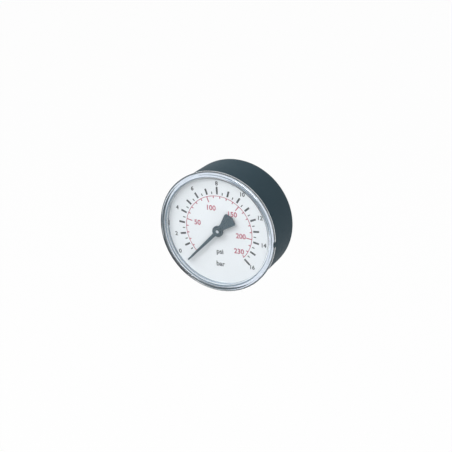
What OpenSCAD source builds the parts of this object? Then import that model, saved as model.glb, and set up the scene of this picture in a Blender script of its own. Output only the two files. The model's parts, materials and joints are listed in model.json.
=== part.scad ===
// Pressure gauge with a Bourdon tube, 63 mm nominal size, centre-back connection.
// Millimetres. The dial faces -Y, the stem points to +Y, +Z is up.
// The origin is on the gauge's axis, at the shoulder where the stem's thread starts.
// Every module draws in a front view (x right, y up, z towards the viewer)
// and stands it upright at the end.

/* [Case] */
// Outer diameter of the case at its front edge
case_d = 60.8; // [58:0.1:70]
// Outer diameter of the case at its back, smaller by the mould's draft
case_back_d = 59.6; // [56:0.1:68]
// Depth of the case from its back face to its front edge
case_depth = 24.5; // [20:0.1:32]
// Thickness of the side wall behind the dial
case_wall = 1.8; // [1.2:0.1:2.6]
// Thickness of the wall round the dial, from its seat to the outside
lip_wall = 1.5; // [1.4:0.1:2.6]
// Width of the collar that stands round the dial's brim
collar_w = 0.6; // [0.4:0.05:1]
// Thickness of the back wall
back_wall = 2; // [1.4:0.1:3]
// Radius of the rounded back edge
back_round = 2.4; // [1:0.1:4]
// Angle of the right snap slot, anticlockwise from three o'clock
slot_right = -4.5; // [-12:0.5:12]
// Angle of the left snap slot, anticlockwise from three o'clock
slot_left = 178.5; // [168:0.5:192]

/* [Window] */
// How far the clear rim stands out past the case
rim_overhang = 0.6; // [0:0.05:1]
// Thickness of the rim, from the case to the bead's crest
rim_t = 2.2; // [1.8:0.1:2.4]
// Radius of the bead that rounds the rim's front
rim_round = 1.4; // [1:0.1:1.6]
// Thickness of the flat pane
pane_t = 0.9; // [0.8:0.1:1.4]
// Drop from the bead's crest to the pane
pane_drop = 0.7; // [0.4:0.05:0.9]
// Gap between the end of the window's skirt and the dial's face
skirt_gap = 0.6; // [0.3:0.05:1]
// Width of a snap tab
tab_w = 2.4; // [2:0.1:3.6]
// Height of the case's key in its notch of the rim
key_h = 1.1; // [0.8:0.05:1.3]
// Depth of the key into the rim
key_depth = 0.8; // [0.7:0.05:1]

/* [Dial] */
// Thickness of the dial's face
dial_t = 1; // [0.6:0.1:1.6]
// Thickness of the pan's side wall
pan_wall = 0.8; // [0.6:0.1:1.2]
// Thickness of the brim that sits inside the case's collar
brim_t = 0.5; // [0.4:0.1:1.2]
// Distance from the pane's back to the dial's face
dial_drop = 2.5; // [2.3:0.1:4]
// Diameter of the hole for the pinion's shaft
dial_hole_d = 4; // [3:0.1:5]

/* [Pointer] */
// Length from the axis to the tip
pointer_l = 24.5; // [20:0.1:25]
// Width of the tip
pointer_tip_w = 0.8; // [0.5:0.1:1.2]
// Width of the needle where it leaves the hub
pointer_base_w = 1.9; // [1.4:0.1:2.6]
// Diameter of the hub
hub_d = 5.6; // [5:0.1:6.4]
// Length from the axis to the end of the tail
tail_l = 11.3; // [10:0.1:12.5]
// Width of the tail at its end
tail_w = 7; // [5:0.1:8]
// Width of the neck between hub and tail
neck_w = 3.2; // [2:0.1:4]
// Thickness of the needle and tail
pointer_t = 0.6; // [0.3:0.05:0.8]
// Angle of the pointer at zero, anticlockwise from three o'clock
zero_angle = 225; // [215:1:235]

/* [Stem] */
// Major diameter of the G 1/4 thread
thread_d = 13.157; // [9.728:0.001:13.157]
// Length of the thread with its chamfer
thread_l = 13; // [10:0.5:16]
// Width across the flats of the wrench square
square_w = 14; // [12:0.1:17]
// Length of the square behind the case
square_l = 8; // [6:0.5:12]
// Diameter of the pilot at the end of the thread
pilot_d = 5; // [4.4:0.1:6]
// Length of the pilot
pilot_l = 2; // [1.5:0.1:3]
// Diameter of the pressure bore
bore_d = 2.8; // [2:0.1:3.2]

/* [Bourdon tube] */
// Radius of the tube's centre line
tube_r = 21.5; // [19:0.1:23.5]
// Width of the flat-oval section along the gauge's axis
tube_w = 7; // [5:0.1:8]
// Thickness of the section across the coil
tube_t = 2.4; // [1.8:0.1:3]
// Wall of the tube
tube_wall = 0.35; // [0.25:0.05:0.45]

/* [Movement] */
// Tooth size: pitch diameter per tooth
tooth_module = 0.3; // [0.28:0.005:0.34]
// Teeth of the pinion
pinion_teeth = 10; // [9:1:12]
// Turns of the pinion for one turn of the sector
gear_ratio = 9; // [8:1:10]
// Thickness of each movement plate
plate_t = 1.2; // [0.8:0.1:1.6]
// Free height between the plates
plate_gap = 7.6; // [6.8:0.1:9]
// Thickness of the sector
sector_t = 1.2; // [0.8:0.05:1.5]
// Radius from the sector's pivot to the link pin
lever_r = 5.5; // [4.8:0.1:6.2]
// Turns of the hairspring
spring_turns = 3.5; // [3:0.25:4.5]
// Thickness of the hairspring's strip
spring_t = 0.15; // [0.1:0.01:0.2]

/* [Clearances] */
// Radial play of a turning shaft in its hole
shaft_play = 0.05; // [0.02:0.01:0.08]
// Gap round a piece that is pressed, soldered or screwed in
seat_gap = 0.01; // [0.005:0.005:0.03]
// Gap between stacked pieces that move past each other
side_play = 0.2; // [0.1:0.05:0.25]
// Gap round moulded pieces that fit into each other
mould_gap = 0.1; // [0.05:0.01:0.15]
// Thinning of each tooth flank
tooth_play = 0.012; // [0.01:0.001:0.02]

/* [Hidden] */
$fn = 96;
// Overlap that joins two bodies of one piece
eps = 0.01;
// How far a cutting body reaches past the surface that it cuts
over = 1;

black = [0.09, 0.1, 0.11];
clear = [0.85, 0.92, 0.96, 0.35];
pale = [0.9, 0.92, 0.94];
brass = [0.78, 0.6, 0.3];
bronze = [0.7, 0.45, 0.25];
steel = [0.7, 0.71, 0.73];

// Heights along the axis, from the thread's shoulder towards the viewer.
flange_t = 4;
sector_lift = 2.7;
link_t = 0.6;
back_z = square_l;
flange_z = back_z + back_wall;
back_plate_z = flange_z + flange_t;
gap_z = back_plate_z + plate_t;
front_plate_z = gap_z + plate_gap;
lip_z = back_z + case_depth;
brim_z = lip_z - brim_t;
front_z = lip_z + rim_t;
pane_z = front_z - pane_drop - pane_t;
dial_z = pane_z - dial_drop;
sector_z = gap_z + sector_lift;
tube_z = sector_z + sector_t / 2;
link_z = sector_z + sector_t + side_play;

// Radii of the moulded pieces that nest in each other, from the outside in.
lip_r = case_d / 2;
rim_r = lip_r + rim_overhang;
brim_seat_r = lip_r - collar_w;
brim_r = brim_seat_r - mould_gap;
seat_r = lip_r - lip_wall;
pan_r = seat_r - mould_gap;
dial_r = pan_r - pan_wall;
draft = atan((case_d - case_back_d) / 2 / case_depth);
// Ledge under the dial, and the chamfers of the case's inside.
ledge_w = 0.4;
ledge_gap = 0.2;
inner_chamfer = 1;

// The window's skirt stands inside the pan and carries two snap tabs.
// A barb on each goes through the pan's wall into a slot of the case.
skirt_r = dial_r - mould_gap;
skirt_t = 0.6;
tab_r = skirt_r - skirt_t;
barb_bite = 0.6;
slot_w = tab_w + 4 * mould_gap;
slot_h = 1.3;
slot_land = 0.3;
slot_top = brim_z - slot_land;
slot_z = slot_top - slot_h;

// Pointer above the dial, and the bush that grips the pinion's spindle.
pointer_lift = 0.8;
hub_step = 0.25;
pointer_z = dial_z + pointer_lift;
hub_t = pointer_t + hub_step;
tail_corner = 0.9;
bush_r = 1.2;
bush_neck = 0.4;
bush_flange_r = 1.7;
bush_flange_t = 0.3;
spindle_show = 0.2;

// Foot of the stem that holds the tube, and the drilled way from the bore to the tube.
foot_w = 10;
foot_t = 6;
foot_cover = 0.5;
foot_clear = 1;
way_r = 0.8;
way_rise = 0.4;

// Fasteners: [shank radius, head radius, head height, length in the thread].
case_screw = [1.45, 2.6, 1.7, 2.9];
movement_screw = [1, 1.9, 1.1, 2.6];
plate_screw = [0.8, 1.5, 1, 3.4];
hole_spare = 0.4;
movement_screw_at = [6.5, 3.5];

// The stem's flange reaches past the square and carries a lug round each case screw.
screw_land = 1.4;
corner_cut = 0.7;
square_corner_r = square_w / sqrt(2) - corner_cut;
flange_step = 1.3;
flange_r = square_corner_r + flange_step;
lug_r = case_screw[1] + screw_land;
case_screw_x = square_w / 2 + lug_r;
thread_chamfer = 1;

// Gears. The pinion sits on the gauge's axis.
pressure_angle = 25;
pinion_r = tooth_module * pinion_teeth / 2;
sector_r = pinion_r * gear_ratio;
sector_teeth = pinion_teeth * gear_ratio;
sector_dir = -52;
sector_at = polar(pinion_r + sector_r, sector_dir);
mesh_dir = sector_dir + 180;
scale_sweep = 270;
sector_swing = scale_sweep / gear_ratio;
tooth_step = 360 / sector_teeth;
spare_teeth = 2;
pinion_spare = 1.5;
shaft_r = 0.9;
pivot_r = 0.5;
spindle_r = 0.8;
sector_shaft_r = 1;
end_play = side_play;

// Linkage at zero pressure.
lever_dir = -15 - sector_swing / 2;
pin_r = 0.6;
pin_head_r = 1.2;
pin_head_t = 0.5;
link_w = 2.8;
tail_bar_w = 3.4;
sector_boss_r = 2.6;
sector_web_r = 5;
sector_band = 2.2;
link_pin_at = sector_at + polar(lever_r, lever_dir);
slot_half = 1.1;

// Angles along the tube's coil, from its foot to its free end.
tube_from = 268;
tube_to = -8;
tip_dir = -18;
tip_at = polar(tube_r, tip_dir);
pocket_sweep = 40;
chamber_sweep = 4;
cap_sweep = 5;
cap_lap = 4;
cap_wall = 0.6;

// Hairspring.
collet_r = 2 * shaft_r;
collet_lap = 0.2;
spring_r = 6;
spring_w = 0.8;
spring_drop = 1.6;
spring_z = front_plate_z - spring_drop;
spring_dir = 135;
stud_r = 0.6;
stud_at = polar(spring_r + spring_t / 2 + stud_r + seat_gap, spring_dir);

// Outline of both movement plates: corner centres, and the radius round them.
plate_round = 3;
low_pillar_y = tube_r - foot_t / 2 - foot_clear - plate_round;
pillar_at = [[-11.5, 3], [9, 9], [-1, -low_pillar_y]];
plate_corners = [pillar_at[0], pillar_at[2], sector_at + [1.3, -0.2], pillar_at[1]];
pillar_r = 1.6;
spigot_r = 1;

function polar(r, a) = [r * cos(a), r * sin(a)];

function involute(a) = tan(a) * 180 / PI - a;

// Half the angle that a tooth covers at radius r.
function tooth_half(r, pitch_r) =
    let(base = pitch_r * cos(pressure_angle))
    90 * tooth_module / pitch_r / 2 - tooth_play / pitch_r * 180 / PI
        + involute(pressure_angle) - involute(acos(min(1, base / r)));

// Outline of one tooth at angle a, from root to tip and back.
function tooth(pitch_r, root_r, tip_r, a, steps = 5) =
    let(radii = [for (i = [0:steps]) root_r + (tip_r - root_r) * i / steps])
    concat(
        [for (i = [0:steps]) polar(radii[i], a - tooth_half(radii[i], pitch_r))],
        [for (i = [steps:-1:0]) polar(radii[i], a + tooth_half(radii[i], pitch_r))]);

function joined(lists) = [for (l = lists) each l];

// Outward unit normal of the edge from p to q of an anticlockwise outline.
function edge_normal(p, q) = [q[1] - p[1], p[0] - q[0]] / norm(q - p);

spring_pitch = (spring_r - collet_r) / spring_turns;
echo(least_gap_between_spring_turns = spring_pitch - spring_t);

module upright() {
    rotate([90, 0, 0])
        children();
}

module raise(z) {
    translate([0, 0, z])
        children();
}

module place(p) {
    translate([p[0], p[1], 0])
        children();
}

// Convex anticlockwise outline with rounded corners.
module rounded_outline(corners, r) {
    n = len(corners);
    polygon(joined([for (i = [0:n - 1])
        let(p = corners[i],
            before = edge_normal(corners[(i + n - 1) % n], p),
            after = edge_normal(p, corners[(i + 1) % n]))
        [p + r * before, p + r * after]]));
    for (p = corners)
        place(p)
            circle(r);
}

// Bar with round ends between two points.
module bar(p, q, w) {
    way = q - p;
    place(p)
        rotate(atan2(way[1], way[0])) {
            translate([0, -w / 2])
                square([norm(way), w]);
            for (x = [0, norm(way)])
                translate([x, 0])
                    circle(w / 2);
        }
}

// Slice of a ring between two radii and two angles.
module ring_slice(r0, r1, a0, a1) {
    steps = 12;
    angles = [for (i = [0:steps]) a0 + (a1 - a0) * i / steps];
    polygon(concat(
        [for (a = angles) polar(r1, a)],
        [for (i = [steps:-1:0]) polar(r0, angles[i])]));
}

module tube_section(grow) {
    t = tube_t + 2 * grow;
    w = tube_w + 2 * grow;
    translate([tube_r, 0])
        union() {
            square([t, w - t], center = true);
            for (side = [-1, 1])
                translate([0, side * (w - t) / 2])
                    circle(d = t);
        }
}

// Flat-oval ring from angle a0 to a1, larger than the tube's outside by grow.
module tube_arc(a0, a1, grow) {
    raise(tube_z)
        rotate([0, 0, a0])
            rotate_extrude(angle = a1 - a0)
                tube_section(grow);
}

module wrench_square(gap, h) {
    w = square_w + 2 * gap;
    intersection() {
        translate([-w / 2, -w / 2, 0])
            cube([w, w, h]);
        cylinder(r = square_corner_r + gap, h = h);
    }
}

module at_tabs() {
    for (turn = [slot_right, slot_left])
        rotate([0, 0, turn])
            children();
}

module at_case_screws() {
    for (side = [-1, 1])
        place([side * case_screw_x, 0])
            children();
}

module at_movement_screws() {
    for (side = [-1, 1])
        place(side * movement_screw_at)
            children();
}

module at_pillars() {
    for (p = pillar_at)
        place(p)
            children();
}

// Slotted screw with its head's underside at height 0, its shank below, through a part of grip thick.
module slotted_screw(size, grip) {
    drive_w = size[1] * 0.28;
    drive_z = size[2] * 0.55;
    shank_l = grip + size[3];
    difference() {
        union() {
            raise(-shank_l)
                cylinder(r = size[0], h = shank_l + eps);
            cylinder(r = size[1], h = size[2]);
        }
        raise(drive_z)
            translate([-size[1] - over, -drive_w / 2, 0])
                cube([2 * (size[1] + over), drive_w, size[2]]);
    }
}

// Hole for a screw's thread that starts at height 0 and goes down.
module threaded_hole(size) {
    depth = size[3] + hole_spare;
    raise(-depth)
        cylinder(r = size[0] + seat_gap, h = depth + over);
}

// Outside of the case from its axis to its drafted wall.
module case_outside() {
    wall_normal = [cos(draft), -sin(draft)];
    lip = [lip_r, lip_z];
    round_z = back_z + back_round;
    round_x = (wall_normal * lip - back_round - wall_normal[1] * round_z) / wall_normal[0];
    tangent = [round_x, round_z] + back_round * wall_normal;
    polygon([[0, back_z], [round_x, back_z], [round_x, round_z], tangent, lip, [0, lip_z]]);
    translate([round_x, round_z])
        circle(back_round);
}

module case_inside() {
    top = seat_r - ledge_w;
    bottom = case_back_d / 2 - case_wall;
    ledge_z = dial_z - dial_t - ledge_gap;
    polygon([
        [0, flange_z], [bottom - inner_chamfer, flange_z], [bottom, flange_z + inner_chamfer],
        [top, ledge_z - ledge_w], [seat_r, ledge_z], [seat_r, brim_z],
        [brim_seat_r, brim_z], [brim_seat_r, lip_z + over], [0, lip_z + over]]);
}

module case() {
    color(black)
        upright() {
            key(0);
            difference() {
                rotate_extrude()
                    case_outside();
                rotate_extrude()
                    case_inside();
                raise(back_z - over)
                    wrench_square(mould_gap, back_wall + 2 * over);
                at_case_screws()
                    raise(back_z - over)
                        cylinder(r = case_screw[0] + mould_gap, h = back_wall + 2 * over);
                at_tabs()
                    translate([seat_r - over, -slot_w / 2, slot_z])
                        cube([lip_wall + 2 * over, slot_w, slot_h]);
            }
        }
}

// Key above the right snap slot. It sits in a notch of the rim and keeps the window from turning.
module key(gap) {
    rotate([0, 0, slot_right])
        intersection() {
            translate([rim_r - key_depth - gap, -tab_w / 2 - gap, slot_top])
                cube([key_depth + over, tab_w + 2 * gap, lip_z + key_h + gap - slot_top]);
            cylinder(r = rim_r + gap, h = front_z);
        }
}

// Half section of the pane, its skirt and the beaded rim.
module window_section() {
    bead_r = rim_r - rim_round;
    bead_z = front_z - rim_round;
    foot_z = lip_z + seat_gap;
    skirt_z = dial_z + skirt_gap;
    polygon([
        [0, pane_z], [tab_r, pane_z], [tab_r, skirt_z], [skirt_r, skirt_z], [skirt_r, foot_z],
        [rim_r, foot_z], [rim_r, bead_z], [bead_r, bead_z], [bead_r, pane_z + pane_t],
        [0, pane_z + pane_t]]);
    translate([bead_r, bead_z])
        intersection() {
            circle(rim_round);
            translate([-rim_round, 0])
                square([2 * rim_round, rim_round]);
        }
}

module window() {
    foot_z = slot_z + 3 * mould_gap;
    barb_h = slot_z + slot_h - seat_gap - foot_z;
    color(clear)
        upright()
            difference() {
                union() {
                    rotate_extrude()
                        window_section();
                    at_tabs()
                        translate([tab_r, -tab_w / 2, foot_z]) {
                            cube([skirt_t, tab_w, pane_z + pane_t / 2 - foot_z]);
                            cube([seat_r + barb_bite - tab_r, tab_w, barb_h]);
                        }
                }
                key(mould_gap);
            }
}

module dial() {
    color(pale)
        upright()
            difference() {
                rotate_extrude()
                    polygon([
                        [dial_hole_d / 2, dial_z - dial_t], [pan_r, dial_z - dial_t],
                        [pan_r, brim_z], [brim_r, brim_z], [brim_r, lip_z], [dial_r, lip_z],
                        [dial_r, dial_z], [dial_hole_d / 2, dial_z]]);
                at_tabs()
                    translate([skirt_r, -tab_w / 2 - mould_gap, dial_z])
                        cube([pan_r - skirt_r + over, tab_w + 2 * mould_gap, slot_top - dial_z]);
            }
}

module pointer_outline() {
    tail_x = tail_corner - tail_l;
    neck_x = -hub_d / 2 - tail_corner;
    polygon([
        [0, -pointer_base_w / 2], [pointer_l, -pointer_tip_w / 2],
        [pointer_l, pointer_tip_w / 2], [0, pointer_base_w / 2]]);
    translate([neck_x, -neck_w / 2])
        square([-neck_x, neck_w]);
    rounded_outline([
        [neck_x, neck_w / 2 - tail_corner],
        [tail_x + tail_corner, tail_w / 2 - tail_corner],
        [tail_x, 0],
        [tail_x + tail_corner, tail_corner - tail_w / 2],
        [neck_x, tail_corner - neck_w / 2]], tail_corner);
}

module pointer() {
    color(black)
        upright()
            raise(pointer_z)
                rotate([0, 0, zero_angle])
                    difference() {
                        union() {
                            linear_extrude(pointer_t)
                                pointer_outline();
                            cylinder(d = hub_d, h = hub_t);
                        }
                        raise(-over)
                            cylinder(r = bush_r + seat_gap, h = hub_t + 2 * over);
                    }
}

module pointer_bush() {
    color(steel)
        upright()
            raise(pointer_z)
                difference() {
                    union() {
                        raise(-bush_neck)
                            cylinder(r = bush_r, h = bush_neck + hub_t + eps);
                        raise(hub_t)
                            cylinder(r = bush_flange_r, h = bush_flange_t);
                    }
                    raise(-bush_neck - over)
                        cylinder(r = spindle_r + seat_gap, h = bush_neck + hub_t + bush_flange_t + 2 * over);
                }
}

module stem_body() {
    thread_r = thread_d / 2;
    foot_top = tube_z + tube_w / 2 + foot_cover;
    raise(-thread_l - pilot_l)
        cylinder(d = pilot_d, h = pilot_l + over);
    raise(-thread_l)
        cylinder(r1 = thread_r - thread_chamfer, r2 = thread_r, h = thread_chamfer);
    raise(thread_chamfer - thread_l)
        cylinder(r = thread_r, h = thread_l - thread_chamfer + eps);
    wrench_square(0, flange_z + over);
    raise(flange_z) {
        cylinder(r = flange_r, h = flange_t);
        at_case_screws()
            cylinder(r = lug_r, h = flange_t);
        translate([-case_screw_x, -lug_r, 0])
            cube([2 * case_screw_x, 2 * lug_r, flange_t]);
        translate([-foot_w / 2, -tube_r - foot_t / 2, 0]) {
            cube([foot_w, tube_r, flange_t]);
            cube([foot_w, foot_t, foot_top - flange_z]);
        }
    }
}

module stem_drilling() {
    bore_l = thread_l + pilot_l + flange_z;
    way_from = [0, flange_z - over];
    way_to = [tube_r, tube_z - tube_w / 2 + way_rise];
    way = way_to - way_from;
    raise(flange_z - bore_l - over)
        cylinder(d = bore_d, h = bore_l + over);
    raise(way_from[1])
        rotate([90 - atan(way[1] / way[0]), 0, 0])
            cylinder(r = way_r, h = norm(way));
    tube_arc(tube_from - eps, tube_from + chamber_sweep, -tube_wall);
    tube_arc(tube_from - pocket_sweep, tube_from, seat_gap);
    at_case_screws()
        raise(flange_z)
            mirror([0, 0, 1])
                threaded_hole(case_screw);
    at_movement_screws()
        raise(back_plate_z)
            threaded_hole(movement_screw);
}

module stem() {
    color(brass)
        upright()
            difference() {
                stem_body();
                stem_drilling();
            }
}

module bourdon_tube() {
    color(bronze)
        upright()
            difference() {
                tube_arc(tube_to, tube_from, 0);
                tube_arc(tube_to - 1, tube_from + 1, -tube_wall);
            }
}

module tube_end_piece() {
    cap_from = tube_to - cap_sweep;
    bar_to = polar(tube_r, tube_to - 0.8 * cap_sweep);
    color(brass)
        upright()
            difference() {
                union() {
                    tube_arc(cap_from, tube_to + cap_lap, cap_wall);
                    raise(sector_z)
                        linear_extrude(sector_t)
                            bar(tip_at, bar_to, tail_bar_w);
                }
                tube_arc(tube_to, tube_to + 2 * cap_lap, 2 * seat_gap);
                place(tip_at)
                    raise(sector_z - over)
                        cylinder(r = pin_r + seat_gap, h = sector_t + 2 * over);
            }
}

module tip_pin() {
    head_z = link_z + link_t + side_play;
    color(steel)
        upright()
            place(tip_at) {
                raise(sector_z)
                    cylinder(r = pin_r, h = head_z - sector_z + eps);
                raise(head_z)
                    cylinder(r = pin_head_r, h = pin_head_t);
            }
}

module link() {
    color(brass)
        upright()
            raise(link_z)
                linear_extrude(link_t)
                    difference() {
                        bar(tip_at, link_pin_at, link_w);
                        place(tip_at)
                            circle(pin_r + shaft_play);
                        place(link_pin_at)
                            circle(pin_r + seat_gap);
                    }
}

module link_pin() {
    head_z = sector_z - side_play - pin_head_t;
    color(steel)
        upright()
            place(link_pin_at) {
                raise(head_z)
                    cylinder(r = pin_head_r, h = pin_head_t);
                raise(head_z)
                    cylinder(r = pin_r, h = link_z + link_t - head_z);
            }
}

module sector_outline() {
    root_r = sector_r - 1.25 * tooth_module;
    tip_r = sector_r + 0.85 * tooth_module;
    swing_teeth = ceil(sector_swing / tooth_step);
    first = mesh_dir - (swing_teeth + spare_teeth - 0.5) * tooth_step;
    count = swing_teeth + 2 * spare_teeth;
    from = first - tooth_step;
    to = first + count * tooth_step;
    polygon(concat(
        [[0, 0], polar(root_r, from)],
        joined([for (i = [0:count - 1]) tooth(sector_r, root_r, tip_r, first + i * tooth_step)]),
        [polar(root_r, to)]));
    circle(sector_boss_r);
    bar([0, 0], polar(lever_r + slot_half, lever_dir), tail_bar_w);
}

module sector_gear() {
    web_from = mesh_dir - sector_swing - tooth_step;
    web_to = mesh_dir + tooth_step / 2;
    color(brass)
        upright()
            place(sector_at)
                raise(sector_z)
                    linear_extrude(sector_t)
                        difference() {
                            sector_outline();
                            ring_slice(sector_web_r, sector_r - sector_band, web_from, web_to);
                            circle(sector_shaft_r + seat_gap);
                            bar(polar(lever_r - slot_half, lever_dir),
                                polar(lever_r + slot_half, lever_dir),
                                2 * (pin_r + shaft_play));
                        }
}

// Shaft between the plates with a thinner pivot at each end.
module sector_arbor() {
    color(steel)
        upright()
            place(sector_at) {
                raise(gap_z + end_play)
                    cylinder(r = sector_shaft_r, h = plate_gap - 2 * end_play);
                raise(back_plate_z)
                    cylinder(r = pivot_r, h = plate_gap + 2 * plate_t);
            }
}

module pinion() {
    root_r = pinion_r - 1.1 * tooth_module;
    tip_r = pinion_r + tooth_module;
    teeth_z = sector_z - pinion_spare;
    teeth_top = spring_z - collet_lap - 2 * side_play;
    spindle_top = pointer_z + hub_t + spindle_show;
    color(steel)
        upright()
            union() {
                raise(teeth_z)
                    linear_extrude(teeth_top - teeth_z)
                        polygon(joined([for (i = [0:pinion_teeth - 1])
                            tooth(pinion_r, root_r, tip_r, sector_dir + i * 360 / pinion_teeth)]));
                raise(back_plate_z + mould_gap)
                    cylinder(r = pivot_r, h = plate_t + over);
                raise(gap_z + end_play)
                    cylinder(r = shaft_r, h = plate_gap - 2 * end_play);
                raise(front_plate_z - over)
                    cylinder(r = spindle_r, h = spindle_top - front_plate_z + over);
            }
}

module hairspring_collet() {
    color(brass)
        upright()
            raise(spring_z - collet_lap)
                difference() {
                    cylinder(r = collet_r, h = spring_w + 2 * collet_lap);
                    raise(-over)
                        cylinder(r = shaft_r + seat_gap, h = spring_w + 2 * (collet_lap + over));
                }
}

// Flat spiral from the collet to the stud.
module hairspring() {
    steps = 96;
    sweep = 360 * spring_turns;
    turn = [for (i = [0:steps]) spring_dir - sweep + sweep * i / steps];
    inner_r = collet_r + seat_gap + spring_t / 2;
    mid = [for (i = [0:steps]) inner_r + (spring_r - inner_r) * i / steps];
    color(bronze)
        upright()
            raise(spring_z)
                linear_extrude(spring_w)
                    polygon(concat(
                        [for (i = [0:steps]) polar(mid[i] + spring_t / 2, turn[i])],
                        [for (i = [steps:-1:0]) polar(mid[i] - spring_t / 2, turn[i])]));
}

module hairspring_stud() {
    color(brass)
        upright()
            place(stud_at) {
                raise(spring_z - collet_lap)
                    cylinder(r = stud_r, h = front_plate_z - spring_z + collet_lap);
                raise(front_plate_z - eps)
                    cylinder(r = pivot_r, h = plate_t + eps);
            }
}

module plate_blank(z) {
    raise(z)
        linear_extrude(plate_t)
            rounded_outline(plate_corners, plate_round);
}

module plate_hole(p, r, z) {
    place(p)
        raise(z - over)
            cylinder(r = r, h = plate_t + 2 * over);
}

module back_plate() {
    color(brass)
        upright()
            difference() {
                plate_blank(back_plate_z);
                plate_hole([0, 0], pivot_r + shaft_play, back_plate_z);
                plate_hole(sector_at, pivot_r + shaft_play, back_plate_z);
                for (p = pillar_at)
                    plate_hole(p, spigot_r + seat_gap, back_plate_z);
                for (side = [-1, 1])
                    plate_hole(side * movement_screw_at, movement_screw[0] + seat_gap, back_plate_z);
            }
}

module front_plate() {
    color(brass)
        upright()
            difference() {
                plate_blank(front_plate_z);
                plate_hole([0, 0], spindle_r + shaft_play, front_plate_z);
                plate_hole(sector_at, pivot_r + shaft_play, front_plate_z);
                plate_hole(stud_at, pivot_r + seat_gap, front_plate_z);
                for (p = pillar_at)
                    plate_hole(p, plate_screw[0] + seat_gap, front_plate_z);
            }
}

module plate_pillars() {
    color(brass)
        upright()
            at_pillars()
                difference() {
                    union() {
                        raise(gap_z)
                            cylinder(r = pillar_r, h = plate_gap);
                        raise(back_plate_z)
                            cylinder(r = spigot_r, h = plate_t + eps);
                    }
                    raise(front_plate_z)
                        threaded_hole(plate_screw);
                }
}

module plate_screws() {
    color(steel)
        upright()
            at_pillars()
                raise(front_plate_z + plate_t)
                    slotted_screw(plate_screw, plate_t);
}

module movement_screws() {
    color(steel)
        upright()
            at_movement_screws()
                raise(gap_z)
                    slotted_screw(movement_screw, plate_t);
}

module case_screws() {
    color(steel)
        upright()
            at_case_screws()
                raise(back_z)
                    mirror([0, 0, 1])
                        slotted_screw(case_screw, back_wall);
}

case();
window();
dial();
pointer();
pointer_bush();
stem();
bourdon_tube();
tube_end_piece();
tip_pin();
link();
link_pin();
sector_gear();
sector_arbor();
pinion();
hairspring_collet();
hairspring();
hairspring_stud();
back_plate();
front_plate();
plate_pillars();
plate_screws();
movement_screws();
case_screws();
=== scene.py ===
"""Looks of a pressure gauge: finishes, dial print, threaded stem, bent tube and a pale studio."""
import json
import math

import bmesh
import bpy
from mathutils import Matrix, Quaternion, Vector


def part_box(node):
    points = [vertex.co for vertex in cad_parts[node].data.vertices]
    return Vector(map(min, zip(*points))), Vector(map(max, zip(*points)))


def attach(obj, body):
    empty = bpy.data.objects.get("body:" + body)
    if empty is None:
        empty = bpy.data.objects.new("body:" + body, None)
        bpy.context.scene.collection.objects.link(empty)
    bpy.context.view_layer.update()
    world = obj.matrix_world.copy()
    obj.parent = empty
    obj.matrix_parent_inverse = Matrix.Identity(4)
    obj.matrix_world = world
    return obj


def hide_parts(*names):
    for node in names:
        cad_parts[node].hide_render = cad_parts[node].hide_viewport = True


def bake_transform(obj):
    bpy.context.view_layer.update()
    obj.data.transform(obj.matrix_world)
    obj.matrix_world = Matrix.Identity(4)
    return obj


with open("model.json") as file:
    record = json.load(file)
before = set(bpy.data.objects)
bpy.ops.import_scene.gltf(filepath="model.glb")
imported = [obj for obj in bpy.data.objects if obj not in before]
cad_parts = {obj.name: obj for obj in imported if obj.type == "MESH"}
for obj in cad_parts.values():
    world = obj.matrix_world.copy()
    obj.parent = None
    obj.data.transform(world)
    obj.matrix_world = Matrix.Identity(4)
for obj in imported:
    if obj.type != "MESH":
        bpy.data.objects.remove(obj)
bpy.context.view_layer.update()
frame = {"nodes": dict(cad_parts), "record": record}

bl_info = {
    "name": "Pressure gauge",
    "version": (1, 0, 0),
    "blender": (4, 5, 0),
    "location": "View3D > Sidebar > Gauge",
    "description": "Dresses the frame of a pressure gauge and sets it in a pale studio",
    "category": "Object",
}

MM = 0.001
PSI_PER_BAR = 14.5038
WHITE = (1.0, 1.0, 1.0, 1.0)
# Points closer than this, in metres, are one
TOUCH = 1e-7
# Edges sharper than this stay sharp on a smoothly shaded piece
SHARP = math.radians(25)
# Turns the front view, with x to the right and y up, to face -Y
FACE_ON = Matrix.Rotation(math.radians(90), 4, "X")


def number(name, description, default):
    """Return a property for a number without a unit."""
    return bpy.props.FloatProperty(name=name, description=description, default=default)


def count(name, description, default):
    """Return a property for a whole number."""
    return bpy.props.IntProperty(name=name, description=description, default=default)


def power(name, description, watts):
    """Return a property for a lamp's power."""
    return bpy.props.FloatProperty(
        name=name, description=description, default=watts, unit="POWER")


def length(name, description, default):
    """Return a property for a size in metres."""
    return bpy.props.FloatProperty(
        name=name, description=description, default=default, unit="LENGTH", precision=5)


def angle(name, description, degrees):
    """Return a property for an angle, with its default in degrees."""
    return bpy.props.FloatProperty(
        name=name, description=description, default=math.radians(degrees), subtype="ANGLE")


def span(name, description, default):
    """Return a property for a place or a size with two or three parts, in metres."""
    return bpy.props.FloatVectorProperty(
        name=name, description=description, default=default, size=len(default), unit="LENGTH")


def colour(name, description, default):
    """Return a property for a linear colour."""
    return bpy.props.FloatVectorProperty(
        name=name, description=description, default=default, subtype="COLOR", size=3,
        min=0, max=1)


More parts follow.
